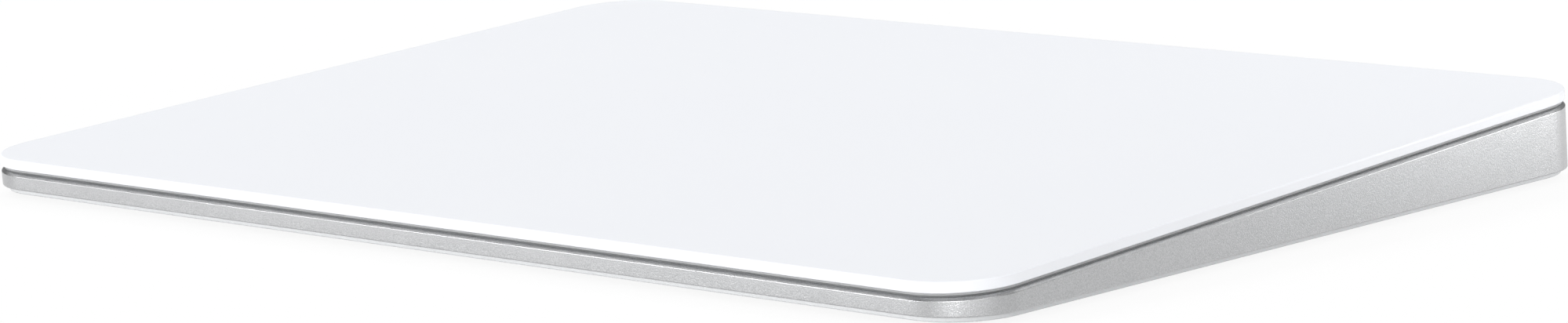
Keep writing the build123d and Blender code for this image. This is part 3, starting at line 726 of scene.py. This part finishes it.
class Recipe(Graph):
    """A Geometry Nodes tree that repeats one detail, with its sizes as named inputs."""

    def __init__(self, name, **sizes):
        super().__init__(bpy.data.node_groups.new(name, "GeometryNodeTree"))
        self.tree.interface.new_socket("Geometry", in_out="INPUT", socket_type="NodeSocketGeometry")
        self.tree.interface.new_socket("Geometry", in_out="OUTPUT", socket_type="NodeSocketGeometry")
        self.sizes = {}
        for label, value in sizes.items():
            kind = "NodeSocketInt" if isinstance(value, int) else "NodeSocketFloat"
            socket = self.tree.interface.new_socket(label, in_out="INPUT", socket_type=kind)
            self.sizes[label] = (socket.identifier, value)
        self.start = self.tree.nodes.new("NodeGroupInput")
        self.end = self.tree.nodes.new("NodeGroupOutput")

    def size(self, label):
        return Wire(self, self.start.outputs[label])

    def vector(self, x=0.0, y=0.0, z=0.0):
        return self.node("ShaderNodeCombineXYZ", sockets={0: x, 1: y, 2: z})

    def spot(self):
        """The place of each point, split into its X (the wire itself), Y and Z."""
        return self.node("ShaderNodeSeparateXYZ", sockets={0: self.node("GeometryNodeInputPosition")})

    def at_seats(self, shape):
        """The shape repeated at every seat, turned to face as the seat says."""
        facing = self.node("GeometryNodeInputNamedAttribute", {"data_type": "FLOAT_VECTOR"}, {"Name": "facing"})
        turn = self.node("FunctionNodeAlignRotationToVector", {"axis": "Z"}, {"Vector": facing})
        return self.node(
            "GeometryNodeInstanceOnPoints",
            sockets={"Points": self.size("Geometry"), "Instance": shape, "Rotation": turn},
        )

    def serve(self, instances, finish, mark=None, marked=None):
        """Ends the tree in plain geometry with its finish, and another finish where a mark was stored."""
        shape = self.node("GeometryNodeRealizeInstances", sockets={0: instances})
        shape = self.node("GeometryNodeSetMaterial", sockets={"Geometry": shape, "Material": finish.material})
        if mark:
            chosen = self.node("GeometryNodeInputNamedAttribute", {"data_type": "BOOLEAN"}, {"Name": mark})
            shape = self.node(
                "GeometryNodeSetMaterial", sockets={"Geometry": shape, "Selection": chosen, "Material": marked.material}
            )
        self.plug(self.end, 0, shape)

    def make(self, name, seats, body, slot, smooth=True, **changes):
        """Runs the tree on the seats and keeps the result as a plain piece."""
        carrier = add_object(name + "_carrier", seats)
        modifier = carrier.modifiers.new("recipe", "NODES")
        modifier.node_group = self.tree
        for label, (identifier, value) in self.sizes.items():
            modifier[identifier] = changes.get(label, value)
        depsgraph = bpy.context.evaluated_depsgraph_get()
        data = bpy.data.meshes.new_from_object(carrier.evaluated_get(depsgraph), depsgraph=depsgraph)
        carrier.modifiers.remove(modifier)
        bpy.data.objects.remove(carrier)
        data.polygons.foreach_set("use_smooth", [smooth] * len(data.polygons))
        if data.materials[0] is None:
            data.materials.pop(index=0)
        piece = new_piece(name, data, [], body)
        print(name, "faces", len(data.polygons))
        return piece


def seats_at(places):
    """A mesh of bare points with the direction that each one faces."""
    data = bpy.data.meshes.new("seats")
    data.from_pydata([place for place, _ in places], [], [])
    facing = data.attributes.new("facing", "FLOAT_VECTOR", "POINT")
    for item, (_, direction) in zip(facing.data, places):
        item.vector = direction
    return data


print("recipe helper ready")

# %% [markdown]
# ## Screws
# Every screw is a flat pan head with a six-lobed drive on a short shank. The recipe grows it from one disc: each step
# pushes the top face up or down and widens or narrows it, and a wave around the drive pulls it into six lobes. The
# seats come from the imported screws, whose heads tell where each one sits and which way it faces.

# %% Screw seats


HEAD_HEIGHT = 0.35 * MM
CROWN_DEPTH = 0.02 * MM


def islands(name):
    """The separate solids within a CAD node, each a list of its points."""
    data = nodes[name].data
    keys = [tuple(round(c / MICRON) for c in vertex.co) for vertex in data.vertices]
    leader = {key: key for key in keys}

    def lead(key):
        while leader[key] != key:
            leader[key] = leader[leader[key]]
            key = leader[key]
        return key

    for polygon in data.polygons:
        first, *rest = (lead(keys[i]) for i in polygon.vertices)
        for other in rest:
            leader[lead(other)] = lead(first)
    groups = {}
    for key in leader:
        groups.setdefault(lead(key), []).append(Vector(key) * MICRON)
    return list(groups.values())


def head_places(name, facing):
    """Where the heads of a node's screws sit, with the direction that they face."""
    places = []
    for points in islands(name):
        top = max(point.dot(facing) for point in points)
        crown = [point for point in points if point.dot(facing) > top - CROWN_DEPTH]
        places.append((sum(crown, Vector()) / len(crown) - facing * HEAD_HEIGHT, facing))
    return places


screw_facings = {"flexure": deck_normal, "haptic": desk_up, "board": desk_up}
screw_places = {kind: head_places(kind + "_screws", facing) for kind, facing in screw_facings.items()}
print("screws", {kind: len(places) for kind, places in screw_places.items()})

# %% Screw recipe
CROWN_SHARE = 0.3
CROWN_WIDTH = 0.9
DRIVE_TAPER = 0.92
LOBES = 6.0

screw = Recipe(
    "screw", head_radius=1.28 * MM, head_height=HEAD_HEIGHT, drive_radius=0.68 * MM, drive_depth=0.2 * MM,
    shank_radius=0.6 * MM, shank_length=1.18 * MM, lobe=0.16, sides=24,
)


def grow(recipe, shape, top, rise, widen):
    """Pushes the top face by a rise and widens it; returns the shape and its new top."""
    pushed = recipe.node(
        "GeometryNodeExtrudeMesh", {"mode": "FACES"},
        {"Mesh": shape, "Selection": top, "Offset Scale": rise, "Individual": False},
    )
    crown = pushed.also("Top")
    widened = recipe.node(
        "GeometryNodeScaleElements", {"domain": "FACE"}, {"Geometry": pushed, "Selection": crown, "Scale": widen}
    )
    return widened, crown


disc = screw.node(
    "GeometryNodeMeshCircle", {"fill_type": "NGON"},
    {"Vertices": screw.size("sides"), "Radius": screw.size("shank_radius")},
)
lowered = screw.vector(z=-1.0 * screw.size("shank_length"))
disc = screw.node("GeometryNodeTransform", sockets={"Geometry": disc, "Translation": lowered})
shape, top = grow(screw, disc, True, screw.size("shank_length"), 1.0)
shape, top = grow(screw, shape, top, 0.0, screw.size("head_radius") / screw.size("shank_radius"))
shape, top = grow(screw, shape, top, (1 - CROWN_SHARE) * screw.size("head_height"), 1.0)
shape, top = grow(screw, shape, top, CROWN_SHARE * screw.size("head_height"), CROWN_WIDTH)
shape, top = grow(screw, shape, top, 0.0, screw.size("drive_radius") / (CROWN_WIDTH * screw.size("head_radius")))
spot = screw.spot()
turn = spot.also("Y").math("ARCTAN2", spot)
wave = (LOBES * turn).math("COSINE") * screw.size("lobe")
shape = screw.node(
    "GeometryNodeSetPosition",
    sockets={"Geometry": shape, "Selection": top, "Offset": screw.vector(spot * wave, spot.also("Y") * wave)},
)
shape, top = grow(screw, shape, top, -1.0 * screw.size("drive_depth"), DRIVE_TAPER)
under = screw.node("GeometryNodeFlipFaces", sockets={0: disc})
joined = screw.node("GeometryNodeJoinGeometry")
for part in (under, shape):
    screw.tree.links.new(part.socket, joined.socket.node.inputs[0])
closed = screw.node("GeometryNodeMergeByDistance", sockets={"Geometry": joined, "Distance": 2 * MICRON})
screw.serve(screw.at_seats(closed), screw_steel)

longer = {"board": {"shank_length": 1.38 * MM}}
for kind, places in screw_places.items():
    changes = longer.get(kind, {})
    screws = screw.make(kind + "_screw_set", seats_at(places), "housing", "screw_steel", smooth=False, **changes)
    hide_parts(kind + "_screws")

# %% [markdown]
# ## Coil windings
# Each leg of the haptic driver carries a coil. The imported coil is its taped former, and the enamelled wire is wound
# over it in a single close layer. The recipe bends a plain spiral: the turns are stretched to the leg's width and
# held flat at its sides, which leaves rounded corners, and a small round section follows that line.

# %% Coil recipe
SIDE_STRETCH = 1.3
TOP_STRETCH = 1.5

coil_boxes = [box_of("haptic_coil_%d" % number) for number in (1, 2, 3)]
length, width, height = coil_boxes[0][1] - coil_boxes[0][0]
coil = Recipe("coil_winding", length=length, half_width=width / 2, half_height=height / 2, wire=0.1 * MM, turns=42.0)


def held(value, limit):
    """A wire that stays between minus and plus a limit."""
    return value.math("MINIMUM", limit).math("MAXIMUM", -1.0 * limit)


wound_length = coil.size("length") - 3.0 * coil.size("wire")
spiral = coil.node(
    "GeometryNodeCurveSpiral",
    sockets={
        "Resolution": 24, "Rotations": coil.size("turns"), "Start Radius": 1.0, "End Radius": 1.0,
        "Height": wound_length,
    },
)
spot = coil.spot()
along = spot.also("Z") - 0.5 * wound_length
across = held(spot * (SIDE_STRETCH * coil.size("half_width")), coil.size("half_width"))
upward = held(spot.also("Y") * (TOP_STRETCH * coil.size("half_height")), coil.size("half_height"))
bent = coil.vector(along, across, upward)
path = coil.node("GeometryNodeSetPosition", sockets={"Geometry": spiral, "Position": bent})
section = coil.node("GeometryNodeCurvePrimitiveCircle", sockets={"Resolution": 5, "Radius": coil.size("wire")})
winding = coil.node("GeometryNodeCurveToMesh", sockets={"Curve": path, "Profile Curve": section, "Fill Caps": True})
coil.serve(coil.at_seats(winding), copper_wire)
coil_middles = [((low + high) / 2, desk_up) for low, high in coil_boxes]
coil.make("coil_windings", seats_at(coil_middles), "housing", "coil_copper")

# %% [markdown]
# ## Strain gauges
# A strain gauge is a thin wire laid back and forth on a film, so that bending the spring stretches many lengths of it
# at once. The recipe numbers the corners of the zigzag, works out each corner's place from its number, and lays a
# flat strip along them.

# %% Gauge recipe
FOIL = 0.012 * MM

gauge = Recipe("gauge_grid", legs=12, pitch=0.19 * MM, reach=1.9 * MM, strip=0.08 * MM, foil=FOIL)
corners = gauge.node("GeometryNodeMeshLine", sockets={"Count": gauge.size("legs") * 2.0})
number = gauge.node("GeometryNodeInputIndex")
leg = (number * 0.5).math("FLOOR")
side = ((number + 1.0) * 0.5).math("FLOOR").math("MODULO", 2.0)
leg_offset = leg - 0.5 * (gauge.size("legs") - 1.0)
corner_place = gauge.vector(leg_offset * gauge.size("pitch"), (side - 0.5) * gauge.size("reach"))
zigzag = gauge.node("GeometryNodeSetPosition", sockets={"Geometry": corners, "Position": corner_place})
line = gauge.node("GeometryNodeMeshToCurve", sockets={"Mesh": zigzag})
flat = gauge.node(
    "GeometryNodeCurvePrimitiveQuadrilateral", sockets={"Width": gauge.size("strip"), "Height": gauge.size("foil")}
)
grid = gauge.node("GeometryNodeCurveToMesh", sockets={"Curve": line, "Profile Curve": flat, "Fill Caps": True})
gauge.serve(gauge.at_seats(grid), copper_wire)

gauge_places = []
for name in sorted(nodes):
    if name.startswith("strain_gauge"):
        low, high = deck_extent(name)
        middle = on_deck((low[0] + high[0]) / 2, (low[1] + high[1]) / 2, low[2] - FOIL / 2)
        gauge_places.append((middle, deck_normal))
gauge.make("gauge_grids", seats_at(gauge_places), "housing", "gauge_film", smooth=False)

# %% [markdown]
# ## Contacts
# The tongue of the charge port carries a row of gold-plated contacts on each face, and the ribbon connectors have a
# row of pins that come out at both sides. Both are one recipe, a row of slightly crowned pads: the middle of each
# pad is lifted, as stamping leaves it.

# %% Contact recipe
contacts = Recipe("contact_row", count=12, pitch=0.5 * MM, length=3.6 * MM, width=0.25 * MM, thickness=0.06 * MM)
pad_size = contacts.vector(contacts.size("width"), contacts.size("length"), contacts.size("thickness"))
pad = contacts.node(
    "GeometryNodeMeshCube", sockets={"Size": pad_size, "Vertices X": 4, "Vertices Y": 6, "Vertices Z": 2}
)
spot = contacts.spot()
from_middle = spot.math("ABSOLUTE") / contacts.size("width")
lift = contacts.vector(z=(0.5 - from_middle) * contacts.size("thickness") * spot.also("Z").math("GREATER_THAN", 0.0))
pad = contacts.node("GeometryNodeSetPosition", sockets={"Geometry": pad, "Offset": lift})
start = contacts.vector(x=-0.5 * contacts.size("pitch") * (contacts.size("count") - 1.0))
stride = contacts.vector(x=contacts.size("pitch"))
row = contacts.node(
    "GeometryNodeMeshLine", sockets={"Count": contacts.size("count"), "Start Location": start, "Offset": stride}
)
row = contacts.node("GeometryNodeInstanceOnPoints", sockets={"Points": row, "Instance": pad})
contacts.serve(contacts.at_seats(row), gold_plate)

TONGUE_THICKNESS = 0.7 * MM
CONTACT_SETBACK = 2.6 * MM
tongue_low, tongue_high = box_of("charge_port_tongue")
tongue_level = (tongue_low.z + tongue_high.z) / 2
tongue_reach = tongue_high.y - CONTACT_SETBACK
tongue_faces = [
    (Vector((0, tongue_reach, tongue_level + side * TONGUE_THICKNESS / 2)), Vector((0, 0, side))) for side in (1, -1)
]
contacts.make("port_contacts", seats_at(tongue_faces), "housing", "can_steel", smooth=False)

PIN_LEVEL = 0.06 * MM
LONG_CONNECTOR = 6 * MM
short_rows, long_rows = [], []
for points in islands("board_connectors"):
    low = Vector([min(point[axis] for point in points) for axis in range(3)])
    high = Vector([max(point[axis] for point in points) for axis in range(3)])
    place = Vector(((low.x + high.x) / 2, (low.y + high.y) / 2, low.z + PIN_LEVEL))
    rows = long_rows if high.x - low.x >= LONG_CONNECTOR else short_rows
    rows.append((place, desk_up))
pins = dict(pitch=0.4 * MM, length=3.2 * MM, width=0.18 * MM)
contacts.make("short_connector_pins", seats_at(short_rows), "housing", "can_steel", smooth=False, count=9, **pins)
contacts.make("long_connector_pins", seats_at(long_rows), "housing", "can_steel", smooth=False, count=20, **pins)

# %% [markdown]
# ## Small parts on the boards
# The boards carry dozens of tiny resistors and capacitors, little blocks with a tinned cap at each end. The recipe
# scatters points over a few free patches of board, never closer than two parts need, turns each part one way or
# the other, and marks the end faces so that they get the tinned finish. The seed is fixed, so every run is alike.

# %% Part patches


def patch_mesh(patches):
    """One flat face for each patch (x from, x to, y from, y to, level)."""
    points, faces = [], []
    for x0, x1, y0, y1, level in patches:
        faces.append([len(points) + i for i in range(4)])
        points += [(x0, y0, level), (x1, y0, level), (x1, y1, level), (x0, y1, level)]
    data = bpy.data.meshes.new("patches")
    data.from_pydata(points, [], faces)
    return data


low, high = box_of("logic_board")
logic_patches = [
    (low.x + 26 * MM, high.x - 5 * MM, low.y + 5 * MM, low.y + 11 * MM, high.z),
    (low.x + 26 * MM, high.x - 5 * MM, low.y + 17.5 * MM, high.y - 2 * MM, high.z),
    (low.x + 10 * MM, low.x + 18 * MM, low.y + 19.5 * MM, high.y - 1.5 * MM, high.z),
]
low, high = box_of("rear_board")
rear_patches = [(low.x + 18 * MM, low.x + 41 * MM, low.y + 1.2 * MM, high.y - 1.2 * MM, high.z)]
print("patches", len(logic_patches), "on the logic board,", len(rear_patches), "on the rear board")

# %% Small part recipe
END_SHARE = 0.3
TURNED_SHARE = 0.4
PART_DENSITY = 900000.0

part = Recipe("small_part", length=1.0 * MM, width=0.5 * MM, height=0.35 * MM, spacing=1.45 * MM, seed=7)
block_size = part.vector(part.size("length"), part.size("width"), part.size("height"))
block = part.node(
    "GeometryNodeMeshCube", sockets={"Size": block_size, "Vertices X": 5, "Vertices Y": 2, "Vertices Z": 2}
)
raised = part.vector(z=0.5 * part.size("height"))
block = part.node("GeometryNodeTransform", sockets={"Geometry": block, "Translation": raised})
spot = part.spot()
is_end = spot.math("ABSOLUTE").math("GREATER_THAN", END_SHARE * part.size("length"))
block = part.node(
    "GeometryNodeStoreNamedAttribute", {"data_type": "BOOLEAN", "domain": "FACE"},
    {"Geometry": block, "Name": "tinned", "Value": is_end},
)
seed = part.size("seed")
scatter = part.node(
    "GeometryNodeDistributePointsOnFaces", {"distribute_method": "POISSON"},
    {"Mesh": part.size("Geometry"), "Distance Min": part.size("spacing"), "Density Max": PART_DENSITY, "Seed": seed},
)
pick = part.node("FunctionNodeRandomValue", {"data_type": "FLOAT"}, {2: 0.0, 3: 1.0, "Seed": seed}, 1)
quarter = part.vector(z=pick.math("GREATER_THAN", 1 - TURNED_SHARE) * (math.pi / 2))
placed = part.node("GeometryNodeInstanceOnPoints", sockets={"Points": scatter, "Instance": block, "Rotation": quarter})
part.serve(placed, pale_nylon, "tinned", tinned_steel)
part.make("logic_board_parts", patch_mesh(logic_patches), "housing", "connector_plastic", smooth=False)
part.make("rear_board_parts", patch_mesh(rear_patches), "housing", "connector_plastic", smooth=False, seed=3)

# %% [markdown]
# ## Stage
# A pale floor runs out to the horizon. Where the camera, a gloss or a clear surface looks at it, most of it is plain
# white, and the rest is ordinary matte paint that keeps the shadow under the trackpad.

# %% Floor
FLOOR_SIDE = 12.0
WHITE_SHARE = 0.9

reach = FLOOR_SIDE / 2
floor_corners = [(-reach, -reach, 0), (reach, -reach, 0), (reach, reach, 0), (-reach, reach, 0)]
floor_mesh = bpy.data.meshes.new("floor")
floor_mesh.from_pydata(floor_corners, [], [(0, 1, 2, 3)])
floor = add_object("floor", floor_mesh)

floor_paint = Finish("floor_paint", roughness=0.9)
floor_paint.set("Base Color", (0.9, 0.9, 0.9, 1))
path = floor_paint.node("ShaderNodeLightPath", output="Is Camera Ray")
seen_directly = path.math("MAXIMUM", path.also("Is Glossy Ray")).math("MAXIMUM", path.also("Is Transmission Ray"))
glow = floor_paint.node("ShaderNodeEmission", sockets={"Strength": 1.0})
matte = Wire(floor_paint, floor_paint.principled.outputs[0])
blend = floor_paint.node("ShaderNodeMixShader", sockets={0: WHITE_SHARE * seen_directly, 1: matte, 2: glow})
floor_paint.plug(floor_paint.output, "Surface", blend)
floor_mesh.materials.append(floor_paint.material)
print("floor side in m", FLOOR_SIDE)

# %% [markdown]
# ## Studio light
# Softboxes stand around the trackpad: low ones for the walls and the ground edge, high ones for the glass, one
# straight above for the chamfer of the rim, and a small card close to the rear right corner, which brightens the end
# of the right wall. A lamp could be bare, but only a wide, even face gives satin metal its broad, slow gradients.
# Each box has the angle it stands at, its size, and the brightness of its face, where 1 is plain white paper in full
# light.

# %% Softboxes
BOX_DISTANCE = 1.5
WORLD_STRENGTH = 0.18


def softbox(name, azimuth, elevation, width, height, brightness):
    """A lamp at an angle around the trackpad, facing it, that the camera doesn't see."""
    lamp = bpy.data.lights.new(name, "AREA")
    lamp.shape = "RECTANGLE"
    lamp.size, lamp.size_y = width, height
    lamp.energy = math.pi * width * height * brightness
    box = add_object(name, lamp)
    turn, lift = math.radians(azimuth), math.radians(elevation)
    side = Vector((math.cos(turn) * math.cos(lift), math.sin(turn) * math.cos(lift), math.sin(lift)))
    box.location = side * BOX_DISTANCE
    box.rotation_euler = side.to_track_quat("Z", "Y").to_euler()
    box.visible_camera = False
    return box


softbox("front left", -124, 8.3, 0.80, 0.42, 10.5)
softbox("front", -58, 8.3, 0.80, 0.42, 10.5)
softbox("front right", -22, 8.3, 0.79, 0.42, 3.0)
overheads = [("left", 180, 3.2), ("rear left", 135, 3.0), ("rear", 85, 2.1), ("right", 0, 1.9), ("front", -75, 1.9)]
for side, azimuth, brightness in overheads:
    softbox(side + " overhead", azimuth, 46, 0.86, 0.75, brightness)
softbox("top", 0, 90, 0.80, 0.80, 0.7)
card = softbox("close card", 43, 0, 0.12, 0.07, 8.0)
card.location = (0.18, 0.19, 0.037)
card.rotation_euler = Vector((1, 0, 0)).to_track_quat("Z", "Y").to_euler()

world = bpy.data.worlds.new("studio")
bpy.context.scene.world = world
world.use_nodes = True
background = world.node_tree.nodes["Background"]
background.inputs["Color"].default_value = (1, 1, 1, 1)
background.inputs["Strength"].default_value = WORLD_STRENGTH

# %% [markdown]
# ## View transform
# The render uses the Standard view transform, which shows each colour plainly.

# %% View transform
bpy.context.scene.view_settings.view_transform = "Standard"
